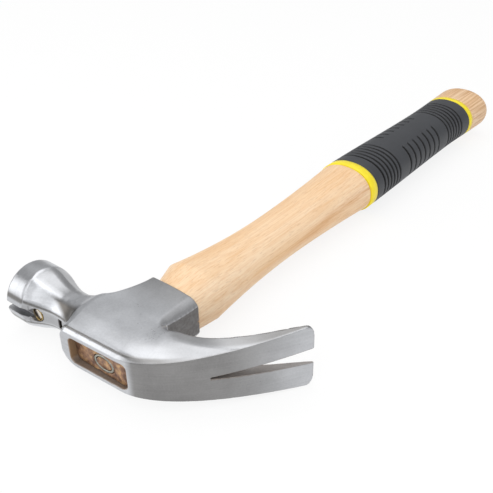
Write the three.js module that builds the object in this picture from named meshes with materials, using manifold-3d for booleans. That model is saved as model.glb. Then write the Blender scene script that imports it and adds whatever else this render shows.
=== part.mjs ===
// A curved claw hammer lying on its side: a forged steel head on a wooden handle with a soft grip.
// Millimetres, +Z up. While it is modelled, x runs from the eye's face along the handle to the butt,
// y runs from the handle's axis to the striking face, and the claw is on the side of -y.
import * as THREE from 'three';
import { mergeVertices } from 'three/addons/utils/BufferGeometryUtils.js';
import Module from 'manifold-3d';

// Fits between pieces
const fitGap = 0.3;               // gap round every piece that sits in another one
const cutPast = 3;                // how far a cutting shape runs past the face that it cuts

// Bell and neck of the head
const faceReach = 62.2;           // handle axis to the striking face
const bellRadius = 14.3;
const bellAxis = 16.8;            // eye's face to the axis of the bell
const faceChamfer = 1.1;
const bellLength = 11.2;          // round part of the bell, from the face to where the facets begin
const shoulderLength = 16;        // from there to the thinnest part of the neck
const shoulderCurve = 1.5;        // how late the shoulder rises to the bell
const neckApothem = 9.4;          // half the neck's width across its eight facets
const neckLength = 3;             // straight part of the neck
const flareLength = 9.5;          // neck to the block round the eye
const flareRise = 2.6;            // how far the facets spread over that length
const pollSink = 10;              // how far the neck runs on inside the block
const flatCut = 1.9;              // depth of the flat behind the bell, on the side of the eye's face
const flatBack = 13.9;            // striking face to where the flat begins

// Nail starter in the flat: groove, magnet in a cup, and a notch for the nail's head
const grooveWidth = 3.8;
const grooveDepth = 2.0;          // below the flat
const magnetBack = 17.7;          // striking face to the magnet's centre
const magnetRadius = 2.4;
const magnetLength = 4.5;
const magnetSunk = 0.3;           // magnet's face below the cup's rim
const cupWall = 0.5;
const cupFloor = 0.8;
const cupSunk = 1.6;              // cup's rim below the flat
const notchBack = 31.3;           // striking face to the notch
const notchWidth = 4.4;
const notchLength = 1.8;
const notchDepth = 2.2;           // below the neck's facet

// Block round the eye, and the socket that carries the handle
const faceHalf = 8.2;             // half the thickness of the head at the eye's face
const faceTilt = 2.7;             // degrees that the eye's face leans back towards the claw
const stripBevel = 1.25;          // bright bevel along the eye's face
const stripStep = 0.75;           // small step behind it
const cheekHalf = 12.1;           // half the thickness across the cheeks
const cheekRun = 12;              // eye's face to where the cheek is flat
const blockEdge = 20.5;           // handle axis to the block's wall under the bell
const blockClawEdge = 17;         // handle axis to the block's wall on the claw's side
const blockCorner = 3.5;
const socketEnd = 45.2;           // eye's face to the socket's end
const socketHalf = 14.2;          // half the socket's width, from the claw's side to the bell's side
const socketSide = 13;            // handle axis to the socket's wall under the bell
const socketSideRun = 21.2;       // length over which the block's wall comes in to it
const socketSideCurve = 1.8;
const socketWall = 2.3;
const socketCorner = 5.5;
const socketBlend = 0.8;          // share of the way to the socket's end over which the claw's side comes in
const eyeHalfLong = 15.6;         // eye's opening at its face
const eyeHalfShort = 6.3;
const eyeCorner = 2.6;            // corners of the opening at the face
const eyeEndCorner = 5.2;         // and at the socket's end

// Claw: its back line and its inner line are curves that leave the block and meet near the tip
const clawRoot = 11;              // handle axis to where the claw's back begins to bend
const clawDrop = 56.8;            // eye's face to the tip, along the handle
const clawReach = 65.0;           // handle axis to the tip
const clawTipThick = 1.2;
const clawTipAngle = 61;          // degrees that the back has turned at the tip
const backPullRoot = 23;
const backPullTip = 15.5;
const throatBack = 24.2;          // eye's face to the bottom of the throat
const throatSide = 15;            // handle axis to the start of the inner line
const innerTipAngle = 46;
const innerPullRoot = 26;
const innerPullTip = 20;
const tipHalf = 15.4;             // half the width of the claw at its tip, before its corners are rounded
const tipRoundLong = 3.5;         // rounded corners of the tip, along the claw
const tipRoundWide = 5.5;         // and across it
const clawSpread = 1.15;          // how late along its length the claw widens
const innerBevel = 1.2;
const innerBevelMost = 0.25;      // of the claw's thickness, where the claw is thin
const sideRise = 1.25;            // least rise from the back edge to the claw's side
const sideRiseTip = 0.25;         // and at the tip
const sideRiseFade = [0.55, 0.95];
const leastScale = 0.1;           // the cheek's bevels shrink along the claw, down to this share of their size
const shrinkStart = 0.27;         // shares of the claw's length between which they shrink
const shrinkEnd = 0.64;
const slotTipHalf = 3.55;         // half the nail slot's width at the tip
const slotApexHalf = 0.5;
const slotLength = 42.2;          // length of the nail slot, measured along the back

// Handle
const handleEnd = 331.2;          // eye's face to the butt
const tenonSunk = 2.5;            // wood's end below the eye's face
const shoulderStart = 0.6;        // wood stands this far inside the socket's outline where it leaves it
const swellBack = 59.5;           // eye's face to the widest part of the swell
const waistBack = 115;            // and to the waist
const pinchBack = 281;            // and to the grip's own waist
const shankCurve = 1.7;           // how late the wood widens from the waist to the grip
// Half width, half thickness, and how far the centre leans towards the bell's side
const swell = { half: 16.9, thick: 13.6, offset: 2.1 };
const waist = { half: 13.45, thick: 10.3, offset: 1.45 };
const shankEnd = { half: 16.6, thick: 13.1, offset: 1.5 };
const gripFront = { half: 17.3, thick: 13.4, offset: 1.3 };
const pinch = { half: 15.55, thick: 12.8, offset: 0.65 };
const butt = { half: 17.4, thick: 12.8, offset: 0.45 };
const buttRound = 6;              // length of the butt's rounded edge
const buttRoundDeep = 3.6;        // and its depth
const tenonLap = 2.5;             // the tenon runs on this far inside the swell
const roundness = 2.15;           // exponent of the handle's oval: 2 is an ellipse, more is squarer

// Steel ring wedge in the end of the wood
const ringHalfLong = 5.7;         // the ring is squeezed to an oval
const ringHalfShort = 4.0;
const ringWall = 1.1;
const ringLength = 11;
const ringTaper = 0.35;           // how much thinner the wall is at the buried end
const ringCenter = new THREE.Vector2(-1.2, -1.1);

// Grip: a yellow liner whose two collars show, and a black sleeve between the collars
const gripStart = 183.5;
const collarFront = 5.7;
const collarBack = 3.7;
const gripEnd = 307.5;
const linerWall = 1.2;
const sleeveWall = 1.8;
const ringGrooves = 6;            // grooves that go all round, near each end
const ringPitch = 3.5;
const ringGrooveStart = 7.9;      // collar to the first groove, at the end near the head
const ringGrooveEnd = 9.8;        // collar to the last groove, at the butt's end
const sideGrooves = 7;            // grooves on the two narrow sides only
const sidePitch = 5.93;
const gripGrooveWidth = 2.0;
const gripGrooveDepth = 1.1;
const sideFade = [0.4, 0.55];     // side grooves fade out between these cosines of the angle round the grip

// Fineness of the facets
const bellSides = 48;
const cornerSteps = 4;
const shoulderSteps = 12;
const flareSteps = 4;
const socketSteps = 6;
const clawSteps = 16;
const ovalSides = 32;
const roundSides = 28;
const swellSteps = 6;
const waistSteps = 10;
const gripSteps = 8;
const buttSteps = 6;
const weldDistance = 1e-4;        // points closer than this are one point

const { lerp, smoothstep, clamp, degToRad } = THREE.MathUtils;
const wasm = await Module();
wasm.setup();

// Row of places from start to end, both included.
function stations(start, end, steps) {
  return Array.from({ length: steps + 1 }, (_, step) => lerp(start, end, step / steps));
}

// A three.js geometry as a solid that can be joined and cut.
function toSolid(geometry) {
  const bare = geometry.clone();
  bare.deleteAttribute('normal');
  bare.deleteAttribute('uv');
  const merged = mergeVertices(bare, weldDistance);
  const vertProperties = new Float32Array(merged.attributes.position.array);
  const triVerts = new Uint32Array(merged.index.array);
  return new wasm.Manifold(new wasm.Mesh({ numProp: 3, vertProperties, triVerts }));
}

// A joined or cut solid as a three.js geometry.
function toGeometry(solid) {
  const { vertProperties, triVerts } = solid.getMesh();
  const geometry = new THREE.BufferGeometry();
  geometry.setAttribute('position', new THREE.BufferAttribute(new Float32Array(vertProperties), 3));
  geometry.setIndex(new THREE.BufferAttribute(new Uint32Array(triVerts), 1));
  return geometry;
}

// A closed skin over a row of rings with equal counts of points, with a flat fan over each end.
function loft(rings) {
  const count = rings[0].length;
  const points = rings.flat();
  const ends = [rings[0], rings.at(-1)];
  const centers = ends.map((ring) => {
    const sum = ring.reduce((total, point) => total.clone().add(point), new THREE.Vector3());
    return sum.divideScalar(count);
  });
  const index = [];
  for (let row = 0; row + 1 < rings.length; row += 1) {
    for (let at = 0; at < count; at += 1) {
      const next = (at + 1) % count;
      const [a, b] = [row * count + at, row * count + next];
      index.push(a, b, b + count, a, b + count, a + count);
    }
  }
  const last = (rings.length - 1) * count;
  for (let at = 0; at < count; at += 1) {
    const next = (at + 1) % count;
    index.push(points.length, next, at, points.length + 1, last + at, last + next);
  }
  const all = [...points, ...centers];
  let volume = 0;
  for (let at = 0; at < index.length; at += 3) {
    const [a, b, c] = [all[index[at]], all[index[at + 1]], all[index[at + 2]]];
    volume += a.dot(b.clone().cross(c));
  }
  if (volume < 0) {
    index.reverse();
  }
  const geometry = new THREE.BufferGeometry().setFromPoints(all);
  geometry.setIndex(index);
  return geometry;
}

// Points of a rectangle with round corners in the plane of y and z, at x.
function roundedRing(x, yLow, yHigh, half, corner) {
  const ring = [];
  const centers = [[yHigh, half, 0], [yLow, half, 1], [yLow, -half, 2], [yHigh, -half, 3]];
  for (const [yEdge, zEdge, quarter] of centers) {
    const y = yEdge - Math.sign(yEdge) * corner;
    const z = zEdge - Math.sign(zEdge) * corner;
    for (let step = 0; step <= cornerSteps; step += 1) {
      const angle = (quarter + step / cornerSteps) * Math.PI / 2;
      ring.push(new THREE.Vector3(x, y + corner * Math.cos(angle), z + corner * Math.sin(angle)));
    }
  }
  return ring;
}

// Points of the handle's oval at x: a superellipse with its two half sizes and its centre's offset.
// shrink(angle) is how far the point at that angle lies inside the oval.
function ovalRing({ x, half, thick, offset }, shrink = () => 0) {
  const ring = [];
  for (let at = 0; at < ovalSides; at += 1) {
    const angle = (at / ovalSides) * Math.PI * 2;
    const [across, up] = [Math.cos(angle), Math.sin(angle)];
    const power = 2 / roundness;
    const inward = shrink(angle);
    const y = (half - inward) * Math.sign(across) * Math.abs(across) ** power;
    const z = (thick - inward) * Math.sign(up) * Math.abs(up) ** power;
    ring.push(new THREE.Vector3(x, offset + y, z));
  }
  return ring;
}

const steel = new THREE.MeshStandardMaterial({ color: '#b5b7ba', roughness: 0.35, metalness: 1 });
const wood = new THREE.MeshStandardMaterial({ color: '#e8bf8e', roughness: 0.55, metalness: 0 });
const brightSteel = new THREE.MeshStandardMaterial({ color: '#c9cac8', roughness: 0.3, metalness: 1 });
const magnetPlate = new THREE.MeshStandardMaterial({ color: '#8f8d88', roughness: 0.25, metalness: 1 });
const brass = new THREE.MeshStandardMaterial({ color: '#c79a4b', roughness: 0.3, metalness: 1 });
const yellowPlastic = new THREE.MeshStandardMaterial({ color: '#f4dc24', roughness: 0.45, metalness: 0 });
const blackRubber = new THREE.MeshStandardMaterial({ color: '#3a3c41', roughness: 0.75, metalness: 0 });

// Bell and neck: rings across y, each the smallest of a circle, eight facets and the flat.
const facetStart = faceReach - bellLength;
const neckTop = facetStart - shoulderLength;
const neckFoot = neckTop - neckLength;
const flareFoot = neckFoot - flareLength;
const flatX = bellAxis - bellRadius + flatCut;

function facetApothem(y) {
  if (y > facetStart) {
    return bellRadius + (y - facetStart);
  }
  const rise = clamp((y - neckTop) / (facetStart - neckTop), 0, 1) ** shoulderCurve;
  const shoulder = (bellRadius - neckApothem) * rise;
  const flare = flareRise * clamp((neckFoot - y) / flareLength, 0, 1) ** 2;
  return neckApothem + shoulder + flare;
}

function pollRing(y, roundRadius) {
  const ring = [];
  for (let at = 0; at < bellSides; at += 1) {
    const angle = (at / bellSides) * Math.PI * 2;
    const facet = Math.PI / 4;
    const fromFacet = angle - Math.round(angle / facet) * facet;
    let radius = Math.min(roundRadius, facetApothem(y) / Math.cos(fromFacet));
    const towardsEye = -Math.cos(angle);
    if (y < faceReach - flatBack && towardsEye * radius > bellAxis - flatX) {
      radius = (bellAxis - flatX) / towardsEye;
    }
    ring.push(new THREE.Vector3(bellAxis + radius * Math.cos(angle), y, radius * Math.sin(angle)));
  }
  return ring;
}

function pollShape() {
  const wide = bellRadius + flareRise;
  const rings = [
    pollRing(faceReach, bellRadius - faceChamfer),
    pollRing(faceReach - faceChamfer, bellRadius),
    ...stations(facetStart, neckTop, shoulderSteps).map((y) => pollRing(y, bellRadius)),
    ...stations(neckFoot, flareFoot, flareSteps).map((y) => pollRing(y, wide)),
    pollRing(flareFoot - pollSink, wide),
  ];
  return toSolid(loft(rings));
}

// Half the head's thickness, from the bevel at the eye's face over the soft rise to the flat cheek.
function cheekRise(depth, from, to, scale) {
  const bevelEnd = stripBevel * scale;
  const stepEnd = bevelEnd + stripStep * scale / 2;
  const stepTop = from + (stripBevel + stripStep) * scale;
  if (depth <= bevelEnd) {
    return from + depth;
  }
  if (depth <= stepEnd) {
    return lerp(from + bevelEnd, stepTop, (depth - bevelEnd) / (stepEnd - bevelEnd));
  }
  const share = Math.min(1, (depth - stepEnd) / (cheekRun * scale - stepEnd));
  return to - (to - stepTop) * (1 - share) ** 2;
}

const stripStations = [0, stripBevel, stripBevel + stripStep / 2];
const riseShares = [0.15, 0.35, 0.6, 1];   // places on the rise, closer together where it is steep
const stripDepth = stripStations.at(-1);
const cheekStations = [...stripStations, ...riseShares.map((share) => lerp(stripDepth, cheekRun, share))];

// Block and socket: rounded rectangles from the eye's face to the socket's end.
function eyeFaceX(y) {
  return -Math.tan(degToRad(faceTilt)) * y;
}

function blockShape() {
  const blendEnd = lerp(cheekRun, socketEnd, socketBlend);
  const places = [
    ...cheekStations,
    ...stations(cheekRun, blendEnd, socketSteps - 1).slice(1),
    socketEnd,
  ];
  const rings = places.map((x) => {
    const share = smoothstep(x, cheekRun, blendEnd);
    const inward = clamp((socketEnd - x) / socketSideRun, 0, 1) ** socketSideCurve;
    const yHigh = lerp(socketSide, blockEdge, inward);
    const yLow = -lerp(blockClawEdge, socketHalf, share);
    const half = cheekRise(x, faceHalf, cheekHalf, 1);
    const ring = roundedRing(x, yLow, yHigh, half, lerp(blockCorner, socketCorner, share));
    const lean = 1 - smoothstep(x, stripDepth, cheekRun);
    ring.forEach((point) => {
      point.x += lean * eyeFaceX(point.y);
    });
    return ring;
  });
  return toSolid(loft(rings));
}

// Claw: rings between its back line and its inner line.
function heading(degrees, length) {
  const angle = degToRad(degrees);
  return new THREE.Vector2(Math.sin(angle), -Math.cos(angle)).multiplyScalar(length);
}

const backStart = new THREE.Vector2(eyeFaceX(-clawRoot), -clawRoot);
const tip = new THREE.Vector2(clawDrop, -clawReach);
const tipInside = tip.clone().add(heading(clawTipAngle + 90, clawTipThick));
const throat = new THREE.Vector2(throatBack, -throatSide);
const backLine = new THREE.CubicBezierCurve(
  backStart,
  backStart.clone().add(heading(faceTilt, backPullRoot)),
  tip.clone().sub(heading(clawTipAngle, backPullTip)),
  tip,
);
const innerLine = new THREE.CubicBezierCurve(
  throat,
  throat.clone().add(heading(0, innerPullRoot)),
  tipInside.clone().sub(heading(innerTipAngle, innerPullTip)),
  tipInside,
);

// Half the claw's width along its back edge: it spreads to the tip, where its corners are rounded.
function clawHalf(share) {
  const spread = faceHalf + (tipHalf - faceHalf) * share ** clawSpread;
  const fromTip = Math.min(1, (1 - share) * backLine.getLength() / tipRoundLong);
  return spread - tipRoundWide * (1 - Math.sqrt(1 - (1 - fromTip) ** 2));
}

// One ring of the claw: its back edge is bevelled as the cheek is, less and less towards the tip.
function clawRing(share) {
  const back = backLine.getPointAt(share);
  const inner = innerLine.getPointAt(share);
  const thick = back.distanceTo(inner);
  const scale = clamp((shrinkEnd - share) / (shrinkEnd - shrinkStart), leastScale, 1);
  const from = clawHalf(share);
  const rise = lerp(sideRise, sideRiseTip, smoothstep(share, ...sideRiseFade));
  const to = Math.max(cheekHalf, from + rise);
  const bevel = Math.min(innerBevel, thick * innerBevelMost);
  const side = cheekStations.map((depth) => [depth * scale, cheekRise(depth * scale, from, to, scale)]);
  const fitted = side.filter(([depth]) => depth < thick - bevel);
  const limit = side.map(([depth, half], at) => (at < fitted.length ? [depth, half] : [thick - bevel, half]));
  limit.push([thick, to - bevel]);
  const place = ([depth, z]) => {
    const point = back.clone().lerp(inner, depth / thick);
    return new THREE.Vector3(point.x, point.y, z);
  };
  const upper = limit.map(place);
  const lower = limit.map(([depth, z]) => place([depth, -z])).reverse();
  return [...upper, ...lower];
}

function clawShape() {
  const cornerStart = 1 - tipRoundLong / backLine.getLength();
  const shares = [...stations(0, cornerStart, clawSteps), ...stations(cornerStart, 1, cornerSteps).slice(1)];
  const rings = shares.map(clawRing);
  const root = rings[0].map((point) => point.clone().add(new THREE.Vector3(0, clawRoot, 0)));
  return toSolid(loft([root, ...rings]));
}

// Nail slot: a wedge that follows the claw, narrow at its apex and open past the tip.
function slotShape() {
  const length = backLine.getLength();
  const first = 1 - slotLength / length;
  const rings = [];
  for (let step = 0; step <= clawSteps; step += 1) {
    const share = lerp(first, 1, step / clawSteps);
    const back = backLine.getPointAt(share);
    const inner = innerLine.getPointAt(share);
    const through = inner.clone().sub(back).normalize().multiplyScalar(cutPast);
    const half = lerp(slotApexHalf, slotTipHalf, step / clawSteps);
    const [outside, inside] = [back.clone().sub(through), inner.clone().add(through)];
    rings.push([[outside, half], [inside, half], [inside, -half], [outside, -half]]);
  }
  const past = heading(clawTipAngle, cutPast);
  rings.push(rings.at(-1).map(([point, half]) => [point.clone().add(past), half]));
  const placed = rings.map((ring) => ring.map(([point, z]) => new THREE.Vector3(point.x, point.y, z)));
  return toSolid(loft(placed));
}

// Eye: it narrows along the claw and bell, and opens towards the cheeks, from its face to the socket.
function eyeSizes(x) {
  const share = x / socketEnd;
  return {
    long: lerp(eyeHalfLong, socketHalf - socketWall, share),
    short: lerp(eyeHalfShort, cheekHalf - socketWall, share),
    corner: lerp(eyeCorner, eyeEndCorner, share),
  };
}

function eyeRing(x, clearance) {
  const { long, short, corner } = eyeSizes(x);
  return roundedRing(x, -(long - clearance), long - clearance, short - clearance, corner);
}

function box(size, center) {
  return toSolid(new THREE.BoxGeometry(...size).translate(...center));
}

// A round bar along x, from start to end.
function barAlongX(radius, start, end, y, z) {
  const bar = new THREE.CylinderGeometry(radius, radius, end - start, roundSides);
  return toSolid(bar.rotateZ(Math.PI / 2).translate((start + end) / 2, y, z));
}

const magnetY = faceReach - magnetBack;
const notchY = faceReach - notchBack;
const cupRadius = magnetRadius + fitGap + cupWall;
const rimX = flatX + cupSunk;
const magnetX = rimX + magnetSunk;
const cupFloorX = magnetX + magnetLength + fitGap;
const cupEnd = cupFloorX + cupFloor;

function headShape() {
  const steelBody = pollShape().add(blockShape()).add(clawShape());
  const eye = toSolid(loft([eyeRing(-cutPast, 0), eyeRing(socketEnd + cutPast, 0)]));
  const grooveFloor = flatX + grooveDepth;
  const grooveLength = faceReach + cutPast - magnetY;
  const groove = box(
    [grooveFloor + cutPast, grooveLength, grooveWidth],
    [(grooveFloor - cutPast) / 2, magnetY + grooveLength / 2, 0],
  );
  const magnetHole = barAlongX(cupRadius + fitGap, -cutPast, cupEnd + fitGap, magnetY, 0);
  const notchFloor = bellAxis - neckApothem + notchDepth;
  const notch = box(
    [notchDepth + cutPast, notchLength, notchWidth],
    [notchFloor - (notchDepth + cutPast) / 2, notchY, 0],
  );
  return [eye, slotShape(), groove, magnetHole, notch].reduce((body, cut) => body.subtract(cut), steelBody);
}

// The cup and the magnet are turned pieces whose axis lies along x.
function turnedAlongX(profile, x, y) {
  const points = profile.map(([radius, height]) => new THREE.Vector2(radius, height));
  const turned = new THREE.LatheGeometry(points, roundSides);
  return toSolid(turned.rotateZ(-Math.PI / 2).translate(x, y, 0));
}

function cupShape() {
  const inside = magnetRadius + fitGap;
  const depth = cupEnd - rimX;
  const floor = depth - cupFloor;
  return turnedAlongX(
    [[0, floor], [inside, floor], [inside, 0], [cupRadius, 0], [cupRadius, depth], [0, depth]],
    rimX,
    magnetY,
  );
}

function magnetShape() {
  const edge = cupWall / 2;
  return turnedAlongX(
    [[0, 0], [magnetRadius - edge, 0], [magnetRadius, edge], [magnetRadius, magnetLength], [0, magnetLength]],
    magnetX,
    magnetY,
  );
}

// Handle's outline outside the head: the swell behind the socket, the waist, and the grip with its own waist.
const shankStart = { half: socketHalf - shoulderStart, thick: cheekHalf - shoulderStart, offset: 0 };

function handleSizes(x) {
  const between = (from, to, share) => ({
    x,
    half: lerp(from.half, to.half, share),
    thick: lerp(from.thick, to.thick, share),
    offset: lerp(from.offset, to.offset, share),
  });
  if (x < swellBack) {
    return between(shankStart, swell, (x - socketEnd) / (swellBack - socketEnd));
  }
  if (x < waistBack) {
    return between(waist, swell, ((waistBack - x) / (waistBack - swellBack)) ** 2);
  }
  if (x < gripStart) {
    return between(waist, shankEnd, ((x - waistBack) / (gripStart - waistBack)) ** shankCurve);
  }
  if (x < pinchBack) {
    return between(gripFront, pinch, smoothstep(x, gripStart, pinchBack));
  }
  return between(pinch, butt, smoothstep(x, pinchBack, handleEnd - buttRound / 2));
}

function handleRing(x, inward) {
  return ovalRing(handleSizes(x), () => inward);
}

// A row of rings under the grip's outline, which runs on straight past both ends of the grip.
function gripRings(start, end, inward) {
  return stations(start, end, gripSteps).map((x) => {
    const sizes = handleSizes(clamp(x, gripStart, gripEnd));
    return ovalRing({ ...sizes, x }, () => inward);
  });
}

const gripSeat = linerWall + sleeveWall + 2 * fitGap;   // depth of the wood's seat for the grip

function handleShape() {
  const shank = socketEnd + fitGap;
  const outside = [
    ...stations(shank, swellBack, swellSteps),
    ...stations(swellBack, waistBack, waistSteps).slice(1),
    ...stations(waistBack, gripStart - fitGap, gripSteps).slice(1),
  ].map((x) => handleRing(x, 0));
  const seat = gripRings(gripStart - fitGap, gripEnd + fitGap, gripSeat);
  const buttPlace = handleEnd - buttRound;
  const buttRings = stations(gripEnd + fitGap, buttPlace, buttSteps).map((x) => handleRing(x, 0));
  for (const angle of stations(0, Math.PI / 2, buttSteps).slice(1)) {
    const inward = buttRoundDeep * (1 - Math.cos(angle));
    buttRings.push(handleRing(buttPlace + buttRound * Math.sin(angle), inward));
  }
  const tenon = toSolid(loft([eyeRing(tenonSunk, fitGap), eyeRing(shank + tenonLap, fitGap)]));
  const slotEnd = tenonSunk + ringLength + fitGap;
  const ringSlot = ringBar(fitGap, tenonSunk - cutPast, slotEnd)
    .subtract(ringBar(-ringWall - fitGap, tenonSunk - 2 * cutPast, slotEnd + cutPast));
  return toSolid(loft([...outside, ...seat, ...buttRings])).add(tenon).subtract(ringSlot);
}

// An oval bar along the ring wedge's axis. grow is how far it stands outside the wedge at its start and end.
function ringBar(grow, start, end, endGrow = grow) {
  const rings = [[grow, start], [endGrow, end]].map(([out, x]) => stations(0, Math.PI * 2, roundSides).slice(1)
    .map((angle) => new THREE.Vector3(
      x,
      ringCenter.x + (ringHalfLong + out) * Math.cos(angle),
      ringCenter.y + (ringHalfShort + out) * Math.sin(angle),
    )));
  return toSolid(loft(rings));
}

// Its hole widens towards the buried end, so that the wall gets thinner there.
function ringWedgeShape() {
  const end = tenonSunk + ringLength;
  const slope = ringTaper / ringLength * cutPast;
  const hole = ringBar(-ringWall - slope, tenonSunk - cutPast, end + cutPast, ringTaper + slope - ringWall);
  return ringBar(0, tenonSunk, end).subtract(hole);
}

// Liner: a thin tube on the wood's seat, with a full-height collar at each end.
const sleeveStart = gripStart + collarFront + fitGap;
const sleeveEnd = gripEnd - collarBack - fitGap;

function linerShape() {
  const low = sleeveWall + fitGap;
  const outside = [
    handleRing(gripStart, 0),
    handleRing(gripStart + collarFront, 0),
    ...gripRings(gripStart + collarFront, gripEnd - collarBack, low),
    handleRing(gripEnd - collarBack, 0),
    handleRing(gripEnd, 0),
  ];
  const bore = gripRings(gripStart - cutPast, gripEnd + cutPast, gripSeat - fitGap);
  return toSolid(loft(outside)).subtract(toSolid(loft(bore)));
}

// Sleeve: grooves all round near both ends, and grooves on its two narrow sides between them.
function sleeveGrooves() {
  const grooves = [];
  const firstRing = sleeveStart + ringGrooveStart;
  const lastRing = sleeveEnd - ringGrooveEnd;
  for (let at = 0; at < ringGrooves; at += 1) {
    grooves.push({ x: firstRing + at * ringPitch, side: false });
    grooves.push({ x: lastRing - at * ringPitch, side: false });
  }
  const span = (ringGrooves - 1) * ringPitch;
  const middle = (firstRing + span + lastRing - span) / 2;
  for (let at = 0; at < sideGrooves; at += 1) {
    grooves.push({ x: middle + (at - (sideGrooves - 1) / 2) * sidePitch, side: true });
  }
  return grooves.sort((one, other) => one.x - other.x);
}

function sleeveShape() {
  const rings = [handleRing(sleeveStart, 0)];
  for (const { x, side } of sleeveGrooves()) {
    const reach = (angle) => (side ? smoothstep(Math.abs(Math.cos(angle)), ...sideFade) : 1);
    rings.push(handleRing(x - gripGrooveWidth / 2, 0));
    rings.push(ovalRing(handleSizes(x), (angle) => gripGrooveDepth * reach(angle)));
    rings.push(handleRing(x + gripGrooveWidth / 2, 0));
  }
  rings.push(handleRing(sleeveEnd, 0));
  const bore = gripRings(sleeveStart - cutPast, sleeveEnd + cutPast, sleeveWall);
  return toSolid(loft(rings)).subtract(toSolid(loft(bore)));
}

// The pieces, put together about the handle's axis
const hammer = new THREE.Group();
const pieces = {
  head: [headShape(), steel],
  magnet_cup: [cupShape(), brass],
  magnet: [magnetShape(), magnetPlate],
  handle: [handleShape(), wood],
  ring_wedge: [ringWedgeShape(), brightSteel],
  grip_liner: [linerShape(), yellowPlastic],
  grip_sleeve: [sleeveShape(), blackRubber],
};
for (const [name, [shape, material]] of Object.entries(pieces)) {
  const mesh = new THREE.Mesh(toGeometry(shape), material);
  mesh.name = name;
  hammer.add(mesh);
}

// The origin is under the middle of the whole hammer, at its lowest point.
const bounds = new THREE.Box3().setFromObject(hammer);
const middle = bounds.getCenter(new THREE.Vector3());
hammer.position.set(-middle.x, -middle.y, -bounds.min.z);

const part = new THREE.Group();
part.add(hammer);

export default part;
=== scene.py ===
"""A curved claw hammer lying on its cheek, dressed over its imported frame: forged head, nail starter,
wooden handle with its ring wedge, and a grip of two layers. Sizes are in millimetres from the middle
of the eye's face: x runs along the handle, y towards the striking face, z up through the cheek."""

import bpy
import numpy as np
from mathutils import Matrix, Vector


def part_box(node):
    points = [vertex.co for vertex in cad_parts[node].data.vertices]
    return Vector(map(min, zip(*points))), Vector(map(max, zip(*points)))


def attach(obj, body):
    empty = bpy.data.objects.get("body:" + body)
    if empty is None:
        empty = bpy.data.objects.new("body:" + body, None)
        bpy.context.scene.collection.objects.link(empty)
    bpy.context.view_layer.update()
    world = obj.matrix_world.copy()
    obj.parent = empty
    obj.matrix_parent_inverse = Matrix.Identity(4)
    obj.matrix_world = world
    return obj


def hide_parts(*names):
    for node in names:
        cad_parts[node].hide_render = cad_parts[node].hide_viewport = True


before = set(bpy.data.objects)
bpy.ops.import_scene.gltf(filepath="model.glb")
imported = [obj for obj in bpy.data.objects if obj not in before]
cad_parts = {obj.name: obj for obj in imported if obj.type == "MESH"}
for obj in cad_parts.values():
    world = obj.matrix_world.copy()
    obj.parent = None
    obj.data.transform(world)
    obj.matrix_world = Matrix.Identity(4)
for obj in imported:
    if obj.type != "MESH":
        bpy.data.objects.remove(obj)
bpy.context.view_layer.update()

# Head: one drop-forged piece of carbon steel. Its bell and claw are ground, its cheeks satin blasted, and
# its socket keeps the dark trimmed edge of the forging. Its parts flow into each other, so its skin is
# the zero level of a formula for the distance to the steel, not a sheet over two parameters.
MM = 0.001
FACE_REACH = 62.2  # handle axis to the striking face
BELL_RADIUS, BELL_AXIS = 14.3, 16.8
FACE_CHAMFER = 1.1
FACET_START = 51.0  # where the eight facets begin to cut the round bell
NECK_TOP, NECK_FOOT = 35.0, 32.0
NECK_APOTHEM, POLL_END = 9.4, 6.0
FLARE_LENGTH, FLARE_RISE = 9.5, 2.6
FACET_EDGE = 1.8  # facets are ground over each other, so their edges are soft
FLAT_X, FLAT_START = 4.4, 48.3  # flat behind the bell, on the side of the eye's face
GROOVE_HALF, GROOVE_FLOOR = 1.9, 6.4
MAGNET_Y, MAGNET_HOLE, MAGNET_FLOOR = 44.5, 3.35, 12.2
NOTCH_Y, NOTCH_HALF_LONG, NOTCH_HALF_WIDE, NOTCH_FLOOR = 30.9, 0.9, 2.2, 9.6
FACE_HALF = 8.2  # half the thickness at the eye's face
FACE_TILT = np.radians(2.7)
STRIP_BEVEL, STRIP_LINE, STRIP_STEP = 1.25, 0.5, 0.75  # bright bevel, riser behind it, its height
CHEEK_HALF, CHEEK_RUN, CHEEK_POWER = 12.1, 12.0, 2.6
CHEEK_END = 27.0  # past this the cheek's plane lifts, clear of the bell
BLOCK_EDGE, SOCKET_END = 20.5, 45.2
SOCKET_NARROW = 38.5  # eye's face to where the block has narrowed to the socket
CLAW_EDGE = 15.2  # handle axis to the socket's wall by the claw, before trimming
SOCKET_SIDE, SOCKET_SIDE_RUN = 13.0, 21.2  # socket's wall under the bell, length over which it comes in
BLOCK_CORNER, SIDE_CORNER, FACE_CORNER = 3.5, 2.0, 8.0
SOCKET_CORNER, UNDER_CORNER = 6.0, 9.0  # rounds beside the trimmed face, above it and below it
SOCKET_CROWN = 1.4  # how far the cheek falls towards the trimmed side at the socket's end
TRIM_SIDE = 14.2  # flat trimmed face of the socket, on the claw's side
NECK_FILLET, THROAT_FILLET = 4.0, 3.0
EYE_LONG, EYE_SHORT, EYE_CORNER = (15.6, 11.9), (6.3, 9.8), (2.6, 5.2)  # at the face and the socket's end
CLAW_ROOT = np.array([0.52, -11.0])
CLAW_TIP = np.array([56.8, -65.0])
TIP_ANGLE, INNER_TIP_ANGLE = np.radians(61), np.radians(46)
TIP_THICK, TIP_HALF = 0.9, 15.4
TIP_ROUND_LONG, TIP_ROUND_WIDE = 3.5, 5.5
CLAW_SPREAD = 1.15
EYE_LEAVES = 0.17  # shares of the claw: where the form round the eye has ended,
CLAW_TAKES = 0.2, 0.36  # where the claw's two planes take over,
INNER_RISES = 0.42, 0.62  # where the inner plane begins to slope,
CREASE_START, CREASE_END = 0.25, 0.66  # and between which the sloped plane narrows to nothing
CREASE_RUN, CREASE_LEAST = 13.4, 0.06  # width of the sloped plane at its start, and its least share
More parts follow.
